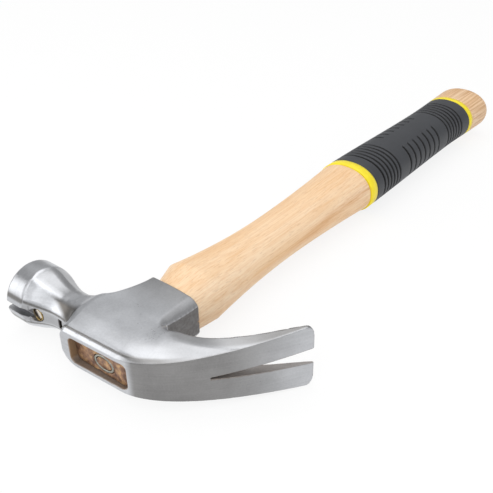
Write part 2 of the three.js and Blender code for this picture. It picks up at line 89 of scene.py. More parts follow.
CREASE_SOFT = 0.08  # share of that width over which the crease is rounded
INNER_SLOPE = 0.16
THROAT = np.array([24.2, -15.0])
SLOT_LENGTH, SLOT_APEX, SLOT_TIP = 42.2, 0.5, 3.55
CUT_EDGE, GROUND_EDGE, END_EDGE = 0.3, 0.35, 0.4
CUTS = {"eye": 0.5, "slot": 0.3, "groove": 0.3, "hole": 0.3, "notch": 0.25}  # radius of each cut's edge

head_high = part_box("head")[1]
handle_low, handle_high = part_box("handle")
HANDLE_END = 331.2
EYE_PLACE = np.array([
    handle_high.x / MM - HANDLE_END,
    head_high.y / MM - FACE_REACH,
    (handle_low.z + handle_high.z) / 2 / MM,
])


def round_max(a, b, radius):
    """Where both shapes hold: the larger of two distances, with an arc for the edge between them."""
    inner = np.minimum(-radius, np.maximum(a, b))
    return inner + np.hypot(np.maximum(a + radius, 0), np.maximum(b + radius, 0))


def round_min(a, b, radius):
    """Where either shape holds: the smaller of two distances, with an arc filling the corner."""
    return -round_max(-a, -b, radius)


def ease(value, start, end):
    """Rises from 0 at start to 1 at end as 3t^2 - 2t^3."""
    t = np.clip((value - start) / (end - start), 0, 1)
    return t * t * (3 - 2 * t)


def blend(start, end, share):
    """The value that lies at a share of the way from start to end."""
    return start + (end - start) * share


def heading(angle):
    """Direction in the plane of x and y, turned by angle from -y towards +x."""
    return np.array([np.sin(angle), -np.cos(angle)])


BACK_LINE = np.array([
    CLAW_ROOT,
    CLAW_ROOT + 23.0 * heading(FACE_TILT),
    CLAW_TIP - 15.5 * heading(TIP_ANGLE),
    CLAW_TIP,
])
TIP_INSIDE = CLAW_TIP + TIP_THICK * heading(TIP_ANGLE + np.pi / 2)
INNER_LINE = np.array([
    THROAT,
    THROAT + 26.0 * heading(0.0),
    TIP_INSIDE - 20.0 * heading(INNER_TIP_ANGLE),
    TIP_INSIDE,
])


def bezier(ends, t, order=0):
    """Cubic curve (1-t)^3 a + 3(1-t)^2 t b + 3(1-t)t^2 c + t^3 d, or its first or second slope over t."""
    u = 1 - t
    weights = {
        0: (u**3, 3 * u * u * t, 3 * u * t * t, t**3),
        1: (-3 * u * u, 3 * u * u - 6 * u * t, 6 * u * t - 3 * t * t, 3 * t * t),
        2: (6 * u, 6 * t - 12 * u, 6 * u - 12 * t, 6 * t),
    }[order]
    return [sum(w * end[axis] for w, end in zip(weights, ends)) for axis in (0, 1)]


def beside_curve(ends, x, y):
    """Share of a curve's length at the place nearest to (x, y), and the distance to the left of it there.
    The curve runs on straight past both ends, so the share goes below 0 and above 1."""
    marks = np.linspace(0, 1, 65)
    mark_x, mark_y = bezier(ends, marks)
    lengths = np.append(0, np.cumsum(np.hypot(np.diff(mark_x), np.diff(mark_y))))
    t = marks[((x[..., None] - mark_x) ** 2 + (y[..., None] - mark_y) ** 2).argmin(-1)]
    for _ in range(4):
        (px, py), (dx, dy), (ex, ey) = (bezier(ends, t, order) for order in range(3))
        toward = (px - x) * dx + (py - y) * dy
        speed = dx * dx + dy * dy
        bend = (px - x) * ex + (py - y) * ey
        t = np.clip(t - toward / np.maximum(speed + bend, 0.2 * speed), 0, 1)
    (px, py), (dx, dy) = bezier(ends, t), bezier(ends, t, 1)
    speed = np.hypot(dx, dy)
    past = ((x - px) * dx + (y - py) * dy) / speed
    side = (dx * (y - py) - dy * (x - px)) / speed
    return (np.interp(t, marks, lengths) + past) / lengths[-1], side


BACK_LENGTH = np.hypot(*np.diff(np.array(bezier(BACK_LINE, np.linspace(0, 1, 400))))).sum()


def cheek_half(depth, share, near, crease):
    """Half thickness at a depth behind the back edge. Round the eye it is a bevel at 45 degrees, a steep
    riser and a parabola up to the flat cheek. Past the eye it is one power curve, and along the claw two
    planes that meet in a crease, rounded as a hyperbola."""
    run = depth / crease
    run = np.maximum(0, (run + 1 - np.hypot(run - 1, CREASE_SOFT)) / 2)
    strip = STRIP_BEVEL + STRIP_LINE
    riser = np.minimum(depth, STRIP_BEVEL) + STRIP_STEP * ease(depth, STRIP_BEVEL, strip)
    rise = np.clip((depth - strip) / (CHEEK_RUN - strip), 0, 1)
    arc = CHEEK_HALF - (CHEEK_HALF - near - STRIP_BEVEL - STRIP_STEP) * (1 - rise) ** 2
    round_eye = np.where(depth < strip, near + riser, arc)
    past_eye = CHEEK_HALF - (CHEEK_HALF - near) * (1 - run) ** CHEEK_POWER
    change_start = blend(0.02, -0.3, ease(depth, strip, strip + 3))
    half = blend(round_eye, past_eye, ease(share, change_start, EYE_LEAVES))
    sloped = near + np.maximum(0, CHEEK_HALF - near) * run
    inner_rise = INNER_SLOPE * ease(share, *INNER_RISES) * np.maximum(0, depth - crease)
    return blend(half, sloped + inner_rise, ease(share, *CLAW_TAKES))


def head_parts(x, y, z):
    """Distances to the faces that bound the head, by name, negative on the steel's side of each: planes,
    cylinders, octagons and curves carried along z, with the socket, share and angle of each place."""
    flat_x, flat_y = np.broadcast_arrays(x, y)
    share, depth = beside_curve(BACK_LINE, flat_x, flat_y)
    inner = beside_curve(INNER_LINE, flat_x, flat_y)[1]
    on_socket = ease(x, 16, THROAT[0]) * ease(y, -20, THROAT[1])
    along = np.clip(share, 0, 1) * (1 - on_socket)
    from_tip = np.clip((1 - share) * BACK_LENGTH / TIP_ROUND_LONG, 0, 1)
    near = FACE_HALF + (TIP_HALF - FACE_HALF) * along**CLAW_SPREAD
    tip_round = TIP_ROUND_WIDE * (1 - np.sqrt(1 - (1 - from_tip) ** 2))
    scale = np.clip((CREASE_END - along) / (CREASE_END - CREASE_START), CREASE_LEAST, 1) ** 1.5
    lift = np.maximum(0, y - CHEEK_END)
    crown = SOCKET_CROWN * np.clip((6 - y) / 20, 0, 1) ** 2
    crown = crown * ease(x, CHEEK_RUN, SOCKET_END) * on_socket
    lead = np.where(share < 0, share, along)
    cheek = np.abs(z) - cheek_half(depth, lead, near, CREASE_RUN * scale) - lift + crown + tip_round

    come_in = np.clip((SOCKET_END - x) / SOCKET_SIDE_RUN, 0, 1) ** 1.8
    block = np.maximum(y - blend(SOCKET_SIDE, BLOCK_EDGE, come_in), -CLAW_EDGE - y)
    sides = round_min(block, np.maximum(inner, y), NECK_FILLET)
    trim = round_min(-TRIM_SIDE - y, inner, THROAT_FILLET)

    rx = np.abs(x - BELL_AXIS)
    rz = np.abs(z)
    shoulder = np.clip((y - NECK_TOP) / (FACET_START - NECK_TOP), 0, 1) ** 1.5
    flare = FLARE_RISE * np.clip((NECK_FOOT - y) / FLARE_LENGTH, 0, 1.15) ** 2
    widen = (BELL_RADIUS - NECK_APOTHEM) * shoulder
    apothem = NECK_APOTHEM + widen + flare + np.maximum(0, y - FACET_START)
    square = round_max(rx - apothem, rz - apothem, FACET_EDGE)
    facets = round_max(square, (rx + rz) / np.sqrt(2) - apothem, FACET_EDGE)
    radius = np.hypot(rx, rz)
    round_bell = radius - BELL_RADIUS - np.clip(NECK_FOOT - y, 0, 3)
    chamfer = (radius - BELL_RADIUS + y - FACE_REACH + FACE_CHAMFER) / np.sqrt(2)
    bell_flat = np.minimum(FLAT_X - x, FLAT_START - y)

    eye_share = x / SOCKET_END
    corner = blend(*EYE_CORNER, eye_share)
    eye_y = np.abs(y) - blend(*EYE_LONG, eye_share) + corner
    eye_z = rz - blend(*EYE_SHORT, eye_share) + corner
    eye = np.minimum(np.maximum(eye_y, eye_z), 0) - corner
    eye = eye + np.hypot(np.maximum(eye_y, 0), np.maximum(eye_z, 0))

    open_share = 1 - (1 - share) * BACK_LENGTH / SLOT_LENGTH
    slot = np.where(
        open_share > 0,
        rz - blend(SLOT_APEX, SLOT_TIP, open_share),
        np.hypot(rz, open_share * SLOT_LENGTH) - SLOT_APEX,
    )
    groove = np.maximum(np.maximum(rz - GROOVE_HALF, x - GROOVE_FLOOR), MAGNET_Y - y)
    hole = np.maximum(np.hypot(y - MAGNET_Y, z) - MAGNET_HOLE, x - MAGNET_FLOOR)
    notch = np.maximum(np.abs(y - NOTCH_Y) - NOTCH_HALF_LONG, rz - NOTCH_HALF_WIDE)
    notch = np.maximum(notch, x - NOTCH_FLOOR)
    return {
        "back": -depth, "cheek": cheek, "sides": sides, "tip": (share - 1) * BACK_LENGTH,
        "facets": facets, "round": round_bell, "chamfer": chamfer, "face": y - FACE_REACH,
        "flat": bell_flat, "poll_end": POLL_END - y,
        "trim": trim, "end": np.minimum(x - SOCKET_END, y + 20),
        "eye": -eye, "slot": -slot, "groove": -groove, "hole": -hole, "notch": -notch,
        "on_socket": on_socket, "share": share, "depth": depth, "scale": scale,
        "angle": np.degrees(np.arctan2(BELL_AXIS - x, rz)),
    }


def head_distance(x, y, z):
    """Distance to the steel's skin: the poll and the block with the claw, joined with a fillet, trimmed by
    cheeks, back, tip and the socket's flat, then cut by the eye, slot, groove, hole and notch."""
    part = head_parts(x, y, z)
    poll = round_max(part["round"], part["facets"], FACET_EDGE)
    for side in ("chamfer", "face", "flat", "poll_end"):
        poll = round_max(poll, part[side], CUT_EDGE)
    body = round_min(poll, part["sides"], NECK_FILLET)
    on_claw = ease(-y, 15.0, 24.0)
    near_face = ease(x, CHEEK_RUN, 0) * ease(y, 0, 10) * ease(-z, 0, 4)
    trim_corner = blend(SOCKET_CORNER, UNDER_CORNER, ease(-z, 0, 4))
    socket_edge = blend(trim_corner, SIDE_CORNER, ease(y, -4, 4))
    edge = blend(BLOCK_CORNER, socket_edge, ease(x, CHEEK_RUN, SOCKET_NARROW))
    edge = blend(edge, FACE_CORNER, near_face)
    edge = blend(edge, np.minimum(1.1, 0.4 + 1.2 * part["scale"]), on_claw)
    body = round_max(body, part["cheek"], edge)
    body = round_max(body, part["trim"], CUT_EDGE)
    body = round_max(body, part["end"], END_EDGE)
    body = round_max(body, part["back"], GROUND_EDGE)
    body = round_max(body, part["tip"], GROUND_EDGE)
    for cut, radius in CUTS.items():
        body = round_max(body, part[cut], radius)
    return body


def skin_over(distance, nodes):
    """Surface nets: a point in each grid cell that the skin crosses, at the mean of its crossings of the
    cell's edges, and a square round each crossed edge. Points then move along the slope to the skin."""
    values = distance(*np.meshgrid(*nodes, indexing="ij", sparse=True))
    inside = values < 0
    cells = tuple(count - 1 for count in values.shape)
    corners = sum(
        inside[i:i + cells[0], j:j + cells[1], k:k + cells[2]].astype(np.int8)
        for i in (0, 1) for j in (0, 1) for k in (0, 1)
    )
    crossed = (corners > 0) & (corners < 8)
    number = np.full(cells, -1)
    number[crossed] = np.arange(crossed.sum())
    total, hits, squares = np.zeros((crossed.sum(), 3)), np.zeros(crossed.sum()), []
    for axis in range(3):
        near = np.take(values, range(cells[axis]), axis)
        far = np.take(values, range(1, cells[axis] + 1), axis)
        start = np.argwhere((near < 0) != (far < 0))
        at = tuple(start.T)
        point = np.stack([nodes[k][start[:, k]] for k in range(3)], 1)
        length = np.diff(nodes[axis])[start[:, axis]]
        point[:, axis] += length * near[at] / (near[at] - far[at])
        u, v = [k for k in range(3) if k != axis]
        ring = []
        for du, dv in ((1, 1), (0, 1), (0, 0), (1, 0)):
            cell = start.copy()
            cell[:, u] -= du
            cell[:, v] -= dv
            owner = number[tuple(cell.T)]
            ring.append(owner)
            hits += np.bincount(owner, minlength=len(hits))
            for k in range(3):
                total[:, k] += np.bincount(owner, point[:, k], len(hits))
        ring = np.stack(ring, 1)
        outward = (near[at] < 0) == (axis != 1)
        squares.append(np.where(outward[:, None], ring, ring[:, ::-1]))
    points = total / hits[:, None]

    def slope(at):
        """Change of the distance along x, y and z, from two places a short reach apart on each."""
        reach = 0.02
        steps = np.eye(3) * reach
        return np.stack([distance(*(at + s).T) - distance(*(at - s).T) for s in steps], 1) / (2 * reach)

    for _ in range(4):
        gradient = slope(points)
        move = distance(*points.T) / np.maximum((gradient**2).sum(1), 0.2)
        points -= np.clip(move, -0.3, 0.3)[:, None] * gradient
    gradient = slope(points)
    normals = gradient / np.linalg.norm(gradient, axis=1, keepdims=True)
    return points, np.concatenate(squares), normals


def new_piece(name, points, faces, slot, node, normals=None):
    """A mesh object from points in millimetres about the eye, standing for a CAD node on the one body."""
    mesh = bpy.data.meshes.new(name)
    mesh.from_pydata(((points + EYE_PLACE) * MM).tolist(), [], faces)
    mesh.polygons.foreach_set("use_smooth", np.ones(len(mesh.polygons), bool))
    mesh.update()
    if normals is not None:
        mesh.normals_split_custom_set_from_vertices(normals.tolist())
    piece = bpy.data.objects.new(name, mesh)
    bpy.context.scene.collection.objects.link(piece)
    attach(piece, "root")
    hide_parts(node)
    return piece


# The grid is finest across the slot and at the eye's face, where edges lie closest.
half_grid = np.concatenate([
    np.arange(0.15, 4.2, 0.3), np.arange(4.45, 12.0, 0.5), np.arange(12.2, 16.6, 0.5),
])
head_nodes = [
    np.concatenate([np.arange(-1.4, 4.0, 0.36), np.arange(4.0, 58.6, 0.52)]),
    np.arange(-66.6, 63.4, 0.52),
    np.concatenate([-half_grid[::-1], half_grid]),
]
head_points, head_faces, head_normals = skin_over(head_distance, head_nodes)
head = new_piece("forged_head", head_points, head_faces.tolist(), "forged_steel", "head", head_normals)

# Which finish each place of the head has, with painted light and shade: red for polished, green for
# painted light and shade, the steel painted lighter or darker where it faces the lamps, lies in shade or
# reflects a dark or bright part of the room, blue for the dark skin left by trimming and painted shade on
# the eye's upward walls, alpha for a painted reflection of the brown wood in the eye's walls and the slot's
# brown tint. The two numbers that an ease is given are millimetres, shares of the claw or degrees round
# the bell, between which a mark fades.
# How light the steel is painted, as painted light and shade: 1 for the lit cheek, less for shade or a
# darker reflection.
LIGHT_FACE, LIGHT_SIDE, LIGHT_LINE, LIGHT_HOLLOW = 0.9, 0.6, 0.2, 0.04
LIGHT_SOCKET, LIGHT_ROUND = 0.53, 0.62
LIGHT_BELL, LIGHT_TOP_FACET, LIGHT_FAR_FACET = 0.86, 0.72, 0.66
LIGHT_ROOT, LIGHT_SLOPE, LIGHT_INNER, LIGHT_INNER_TIP = 0.82, 0.68, 0.54, 0.26
LIGHT_BACK, LIGHT_TIP = 0.28, 0.85
CUT_SKIN = {"slot": 0.3, "groove": 0.35, "hole": 0.7, "notch": 1.0}
TRIM_SKIN, SLOT_STAIN = 0.7, 0.3
PAINT_CREASE_WIDER, PAINT_CREASE_END = 1.15, 0.82  # the painted light of the sloped plane reaches past the crease
TRIM_START = 21.0
BELL_REFLECTION_LINE, FLAT_LINE = 68.0, 67.5  # degrees round the bell of the painted dark lines beside the flat: a reflection on the bell, shade on the neck
HOLLOW_START, HOLLOW_ANGLE, HOLLOW_SLANT = 41.0, 24.0, 0.29  # reach of the painted shade at the neck's foot

part = head_parts(*head_points.T)
at_x, at_y, at_z = head_points.T
facing_y, facing_z = head_normals[:, 1], head_normals[:, 2]
share, depth, angle = part["share"], part["depth"], part["angle"]
on_block = at_y < BLOCK_EDGE + 1

on_back = ease(np.abs(part["back"]), 0.5, 0.1)
strip_wide = STRIP_BEVEL * blend(1.0, 0.3, ease(share, 0.02, 0.12)) * ease(share, 0.3, 0.15)
on_strip = ease(depth, strip_wide + 0.35, strip_wide + 0.05) * ease(share, 0.26, 0.12)
on_strip *= on_block * (1 - on_back)
# Painted shade: a dark line on the riser behind the bright strip, widening and fading along the claw.
line_at = strip_wide + STRIP_LINE * blend(1.0, 1.8, ease(share, 0.02, 0.1))
line_half = blend(0.6, 1.4, ease(share, 0.02, 0.12))
on_line = ease(np.abs(depth - line_at), line_half, 0.3 * line_half)
on_line *= blend(1.0, 0.85, ease(share, 0.0, 0.12)) * ease(share, 0.42, 0.2)
on_line *= on_block * (np.abs(at_z) > FACE_HALF)

on_bell = ease(np.abs(part["round"]), 0.4, 0.1) * (at_y > 40)
on_poll = ease(at_y, BLOCK_EDGE, BLOCK_EDGE + 2)
on_neck = on_poll * (1 - on_bell) * (at_y < FACET_START + 0.5)
# Painted reflection: a dark line along the bell; painted shade: a dark line on the neck beside the flat.
bell_reflection_line = on_bell * ease(np.abs(angle - BELL_REFLECTION_LINE), 7, 2)
flat_line = on_neck * ease(np.abs(angle - FLAT_LINE), 4.5, 1) * (at_y > 27)
# Painted shade: the hollow at the neck's foot, painted nearly black.
hollow_start = HOLLOW_START - HOLLOW_SLANT * (angle - HOLLOW_ANGLE)
hollow_shade = on_poll * ease(at_y, hollow_start + 2.5, hollow_start - 4.5)
hollow_shade *= ease(angle, 18, 36) * ease(angle, 80, 64)
hollow_shade *= ease(np.abs(part["cheek"]), 0.1, 0.9)
# Painted shade: the neck's top facet darker towards the block, and facets past the bell's axis darker.
top_light = blend(1.0, LIGHT_TOP_FACET, ease(at_y, 29, 36))

# Painted shade: steel facing sideways or down, the cheek towards the socket's end, the round above the
# trimmed face.
on_side = ease(np.abs(facing_z), 0.4, 0.1) * (1 - on_bell)
on_socket = ease(at_x, 24, SOCKET_END) * (at_y > -16) * (1 - on_poll)
socket_round = ease(-facing_y, 0.06, 0.4) * ease(facing_z, 0.4, 0.7)
socket_round *= (at_x > 22) * (at_y > -14.6)
ragged = 0.5 + 0.25 * (np.sin(2.3 * at_x) + np.sin(3.9 * at_x + 1.0))
trim_edge = ease(at_y, blend(-13.8, -13.1, ragged), -14.05) * blend(0.45, 1.0, ragged)
trim_edge *= ease(-facing_y, 0.99, 0.95) * (np.abs(at_z) > 4)
trim_edge *= (at_x > TRIM_START) * (at_y > -TRIM_SIDE - 0.3)
on_trim = TRIM_SKIN * ease(np.abs(TRIM_SIDE + at_y), 0.4, 0.1)
on_trim *= (at_x > TRIM_START) * (1 - trim_edge)

# Painted light and shade on the claw: sloped plane lighter, inner plane darker, back painted dark for a
# darker reflection.
at_root = ease(share, -0.2, 0.12) * ease(depth, 12, 8)
on_claw = (1 - part["on_socket"]) * (at_y < 0) * np.maximum(at_root, ease(share, 0.2, 0.32))
paint_crease_share = np.clip((PAINT_CREASE_END - share) / (PAINT_CREASE_END - CREASE_START), CREASE_LEAST, 1) ** 2
past_crease = ease(depth - PAINT_CREASE_WIDER * CREASE_RUN * paint_crease_share, -0.9, 0.9)
slope_light = blend(LIGHT_ROOT, LIGHT_SLOPE, ease(share, 0.12, 0.34))
inner_light = blend(LIGHT_INNER, LIGHT_INNER_TIP, ease(share, 0.4, 0.9))
back_light = blend(LIGHT_FACE, LIGHT_BACK, ease(share, 0.05, 0.1))
back_light = blend(back_light, LIGHT_TIP, ease(share, 0.3, 1.0) ** 2.4)
in_cut = {cut: ease(np.abs(part[cut]), 0.4, 0.12) for cut in CUTS}

# The painted light and shade, layered: each layer sets how light the steel is painted where its mask holds.
painted_lightness = np.ones(len(head_points))
for layer, where in (
    (LIGHT_SIDE, on_side),
    (LIGHT_SOCKET, on_socket),
    (LIGHT_ROUND, socket_round),
    (blend(slope_light, inner_light, past_crease), on_claw),
    (LIGHT_FACE, in_cut["slot"]),
    (LIGHT_FACE, trim_edge),
    (LIGHT_BELL, on_bell),
    (top_light, on_neck * ease(np.abs(angle), 22, 16)),
    (LIGHT_FAR_FACET, on_neck * ease(angle, -8, -20)),
    (back_light, on_back),
    (LIGHT_LINE, np.max([on_line, bell_reflection_line, flat_line], 0)),
    (LIGHT_HOLLOW, hollow_shade),
):
    painted_lightness = blend(painted_lightness, layer, where)

# The eye's steel walls are painted brown as a reflection of the wood, and darker as shade where they face
# up.
eye_top = ease(facing_z, 0.2, 0.8)
eye_wall_painted_brown = in_cut["eye"] * blend(1.0, 0.6, eye_top)
dark_places = [in_cut[cut] * dark for cut, dark in CUT_SKIN.items()]
dark_skin_and_shade = np.max(dark_places + [eye_wall_painted_brown * eye_top, on_trim], 0)
eye_reflection_and_slot_stain = np.maximum(eye_wall_painted_brown, SLOT_STAIN * in_cut["slot"])
finish_and_painted_light = np.stack([np.maximum(on_bell, on_strip), painted_lightness, dark_skin_and_shade, eye_reflection_and_slot_stain], 1)
head.data.attributes.new("finish_and_painted_light", "FLOAT_COLOR", "POINT").data.foreach_set("color", finish_and_painted_light.ravel())


def linear(hex_colour):
    """A colour written as sRGB hex, as linear red, green, blue and alpha."""
    srgb = np.array([int(hex_colour[i:i + 2], 16) for i in (1, 3, 5)]) / 255
    low_part, high_part = srgb / 12.92, ((srgb + 0.055) / 1.055) ** 2.4
    return (*np.where(srgb <= 0.04045, low_part, high_part), 1.0)


def repeats(*size):
    """Repeats in a metre of a pattern, from its real size in millimetres: one, or along x, y and z."""
    scale = tuple(1 / (length * MM) for length in size)
    return scale if len(scale) > 1 else scale[0]


def set_inputs(material, node, inputs):
    """Gives a node's sockets their values, or links them to other nodes' outputs."""
    for key, value in inputs.items():
        if isinstance(value, bpy.types.NodeSocket):
            material.node_tree.links.new(value, node.inputs[key])
        else:
            node.inputs[key].default_value = value


def add_node(material, kind, inputs, **settings):
    """Adds a shader node with its settings, fills its inputs and returns its outputs."""
    made = material.node_tree.nodes.new("ShaderNode" + kind)
    for name, value in settings.items():
        setattr(made, name, value)
    set_inputs(material, made, inputs)
    return made.outputs


def new_material(name, piece):
    """A named material on a piece, with its shader and the piece's own coordinates."""
    material = bpy.data.materials.new(name)
    material.use_nodes = True
    piece.data.materials.append(material)
    place = add_node(material, "TexCoord", {})["Object"]
    return material, material.node_tree.nodes["Principled BSDF"], place


# Satin forged steel, blasted on the cheeks: a bright soft metal. Grinding leaves rings round the bell and
# lines along the claw, drawn at about 0.5 mm because the real 0.1 mm lines would not show.
# The steel's shaded and lit colours, between which the painted light and shade runs.
STEEL_SHADED, STEEL_LIT = linear("#625E59"), linear("#CDCFD3")
# The forge scale also paints shade on the eye's upward walls; the brown paints the wood's reflection and
# tints the slot.
FORGE_SCALE_AND_SHADE, WOOD_REFLECTION_AND_STAIN = linear("#55504C"), linear("#8A7158")
steel, steel_shader, steel_at = new_material("satin_forged_steel", head)
head_finish_and_light = add_node(steel, "Attribute", {}, attribute_name="finish_and_painted_light")
# The head's finish attribute: polish, painted light and shade, dark skin with painted shade, painted brown
# reflection.
polish, painted_light, skin_and_shade = add_node(steel, "SeparateColor", {0: head_finish_and_light["Color"]})
reflection_and_stain = head_finish_and_light["Alpha"]
ring_lines = add_node(steel, "Mapping", {0: steel_at, "Scale": repeats(16.67, 0.5, 16.67)})
ring_noise = add_node(steel, "TexNoise", {0: ring_lines[0], "Scale": 1.0, "Detail": 3.0})
claw_lines = add_node(steel, "Mapping", {0: steel_at, "Scale": repeats(25.0, 25.0, 0.625)})
claw_noise = add_node(steel, "TexNoise", {0: claw_lines[0], "Scale": 1.0, "Detail": 3.0})
blast_noise = add_node(steel, "TexNoise", {0: steel_at, "Scale": repeats(0.7692), "Detail": 3.0})
cloud_noise = add_node(steel, "TexNoise", {0: steel_at, "Scale": repeats(14.29), "Detail": 3.0})
scale_noise = add_node(steel, "TexNoise", {0: steel_at, "Scale": repeats(1.111), "Detail": 3.0})
lines = add_node(steel, "Mix", {0: polish, 2: claw_noise[0], 3: ring_noise[0]})
texture = add_node(steel, "Mix", {0: 0.5, 2: lines[0], 3: blast_noise[0]})[0]
# Painted light and shade: the steel's colour runs from its shaded copy to its lit copy.
painted_shade_steel = add_node(steel, "Mix", {0: painted_light, 6: STEEL_SHADED, 7: STEEL_LIT}, data_type="RGBA")
uneven = add_node(steel, "MapRange", {0: scale_noise[0], 1: 0.35, 2: 0.65, 3: 0.88, 4: 1.12})
# The dark skin, which also paints shade on the eye's upward walls.
skin_and_shade_share = add_node(steel, "Math", {0: skin_and_shade, 1: uneven[0]}, operation="MULTIPLY", use_clamp=True)
skin_and_shade_tone = add_node(steel, "Mix", {0: skin_and_shade_share[0], 6: painted_shade_steel[2], 7: FORGE_SCALE_AND_SHADE}, data_type="RGBA")
mottle = add_node(steel, "Math", {0: texture, 1: cloud_noise[0]}, operation="ADD")
shade = add_node(steel, "MapRange", {0: mottle[0], 1: 0.7, 2: 1.3, 3: 0.84, 4: 1.12})
grey = add_node(steel, "Mix", {0: 1.0, 6: skin_and_shade_tone[2], 7: shade[0]}, data_type="RGBA", blend_type="MULTIPLY")
# Painted reflection of the wood on the eye's walls, and the slot's brown tint.
steel_tone = add_node(steel, "Mix", {0: reflection_and_stain, 6: grey[2], 7: WOOD_REFLECTION_AND_STAIN}, data_type="RGBA")
bare = add_node(steel, "Math", {0: 1.0, 1: reflection_and_stain}, operation="SUBTRACT")
rough = add_node(steel, "MapRange", {0: texture, 1: 0.3, 2: 0.7, 3: 0.27, 4: 0.37})
rougher = add_node(steel, "Mix", {0: skin_and_shade, 2: rough[0], 3: 0.55})
smoother = add_node(steel, "Mix", {0: polish, 2: rougher[0], 3: 0.31})
steel_bump = add_node(steel, "Bump", {"Strength": 0.2, "Distance": 0.2 * MM, "Height": texture})
set_inputs(steel, steel_shader, {
    "Base Color": steel_tone[2], "Metallic": bare[0],
    "Roughness": smoother[0], "Normal": steel_bump[0],
})

# Magnet cup: a thin cup drawn from brass sheet and pressed into the hole behind the bell. It holds the
# nail starter's magnet, and only its rim shows, as a gold ring.
CUP_OUTER, CUP_INNER, CUP_RIM_X, CUP_FLOOR_X, CUP_END_X = 3.2, 2.7, 6.0, 11.1, 11.9
CUP_BEND, RIM_BREAK, RIM_DROP = 0.3, 0.15, 0.2  # round at the floor, width and depth of the rim's edge
ROUND_TURNS, POLE = 96, 0.05  # steps round, and the small circle that closes a pole


def turned(profile, centre):
    """A profile of (radius, x) carried round a line along x through a centre (y, z)."""
    round_turn = np.linspace(0, 2 * np.pi, ROUND_TURNS, endpoint=False)
    radius, x = np.array(profile, float).T[:, :, None]
    y, z = centre[0] + radius * np.cos(round_turn), centre[1] + radius * np.sin(round_turn)
    return np.stack([np.broadcast_to(x, y.shape), y, z], -1)


def tube_faces(rows, columns, wrap):
    """Squares between the rows of a grid whose columns close on themselves, and whose rows may."""
    row = np.arange(rows if wrap else rows - 1)[:, None]
    column = np.arange(columns)
    after, beside = (row + 1) % rows * columns, (column + 1) % columns
    corners = [row * columns + column, row * columns + beside, after + beside, after + column]
    return np.stack(corners, -1).reshape(-1, 4)


def closed_skin(grid, wrap=False):
    """Points and faces of a grid: squares between rows, and a flat cap on each end unless rows wrap."""
    rows, columns = grid.shape[:2]
    faces = tube_faces(rows, columns, wrap).tolist()
    if not wrap:
        faces.append(list(range(columns))[::-1])
        faces.append(list(range((rows - 1) * columns, rows * columns)))
    return grid.reshape(-1, 3), faces


cup_grid = turned([
    (POLE, CUP_FLOOR_X), (CUP_INNER - CUP_BEND, CUP_FLOOR_X), (CUP_INNER, CUP_FLOOR_X - CUP_BEND),
    (CUP_INNER, CUP_RIM_X + RIM_DROP), (CUP_INNER + RIM_BREAK, CUP_RIM_X),
    (CUP_OUTER - RIM_BREAK, CUP_RIM_X), (CUP_OUTER, CUP_RIM_X + RIM_DROP),
    (CUP_OUTER, CUP_END_X - CUP_BEND), (CUP_OUTER - CUP_BEND, CUP_END_X), (POLE, CUP_END_X),
], centre=(MAGNET_Y, 0.0))
cup = new_piece("brass_magnet_cup", *closed_skin(cup_grid), "brass", "magnet_cup")

# Drawn brass: warm yellow metal, bright on the rim where the bell's grinding touched it, and painted darker
# as shade where the rim lies in the groove.
BRASS_DARK, BRASS_LIGHT, BRASS_SHADE = linear("#8C7448"), linear("#CDB47C"), linear("#6A604E")
RIM_SHADE = (EYE_PLACE[1] + MAGNET_Y + 0.6) * MM, (EYE_PLACE[1] + MAGNET_Y + 1.8) * MM
brass, brass_shader, brass_at = new_material("drawn_brass", cup)
brass_noise = add_node(brass, "TexNoise", {0: brass_at, "Scale": repeats(1.111), "Detail": 3.0})[0]
brass_tone = add_node(brass, "Mix", {0: brass_noise, 6: BRASS_DARK, 7: BRASS_LIGHT}, data_type="RGBA")
rim_y = add_node(brass, "SeparateXYZ", {0: brass_at})[1]
# Painted shade: the rim darkens where it lies in the groove.
rim_shade = add_node(brass, "MapRange", {0: rim_y, 1: RIM_SHADE[0], 2: RIM_SHADE[1]})
rim_tone = add_node(brass, "Mix", {0: rim_shade[0], 6: brass_tone[2], 7: BRASS_SHADE}, data_type="RGBA")
brass_rough = add_node(brass, "MapRange", {0: brass_noise, 1: 0.3, 2: 0.7, 3: 0.2, 4: 0.35})
set_inputs(brass, brass_shader, {"Base Color": rim_tone[2], "Metallic": 1.0, "Roughness": brass_rough[0]})

# Magnet: a pressed disc magnet, nickel plated, with broken edges. It is glued into the cup, a little below
# its rim, and holds a nail for the first blow.
MAGNET_RADIUS, MAGNET_X, MAGNET_END = 2.4, 6.3, 10.8
magnet_grid = turned([
    (POLE, MAGNET_X), (MAGNET_RADIUS - 0.35, MAGNET_X), (MAGNET_RADIUS - 0.1, MAGNET_X + 0.1),
    (MAGNET_RADIUS, MAGNET_X + 0.35), (MAGNET_RADIUS, MAGNET_END), (POLE, MAGNET_END),
], centre=(MAGNET_Y, 0.0))
magnet = new_piece("plated_magnet", *closed_skin(magnet_grid), "plated_magnet", "magnet")

# Nickel plate, bright where nails rub it, with a painted brown shade on the side of the groove.
PLATE_DULL, PLATE_BRIGHT, PLATE_SHADE = linear("#C9C0B2"), linear("#E2DCD2"), linear("#4C3F34")
SHADE_SLANT = -0.5
SHADE_MIDDLE = (EYE_PLACE[1] + MAGNET_Y + SHADE_SLANT * EYE_PLACE[2]) * MM
plate, plate_shader, plate_at = new_material("nickel_plate", magnet)
plate_noise = add_node(plate, "TexNoise", {0: plate_at, "Scale": repeats(1.4286), "Detail": 4.0})[0]
plate_place = add_node(plate, "SeparateXYZ", {0: plate_at})
slant_parts = {0: plate_place["Z"], 1: SHADE_SLANT, 2: plate_place["Y"]}
slant = add_node(plate, "Math", slant_parts, operation="MULTIPLY_ADD")
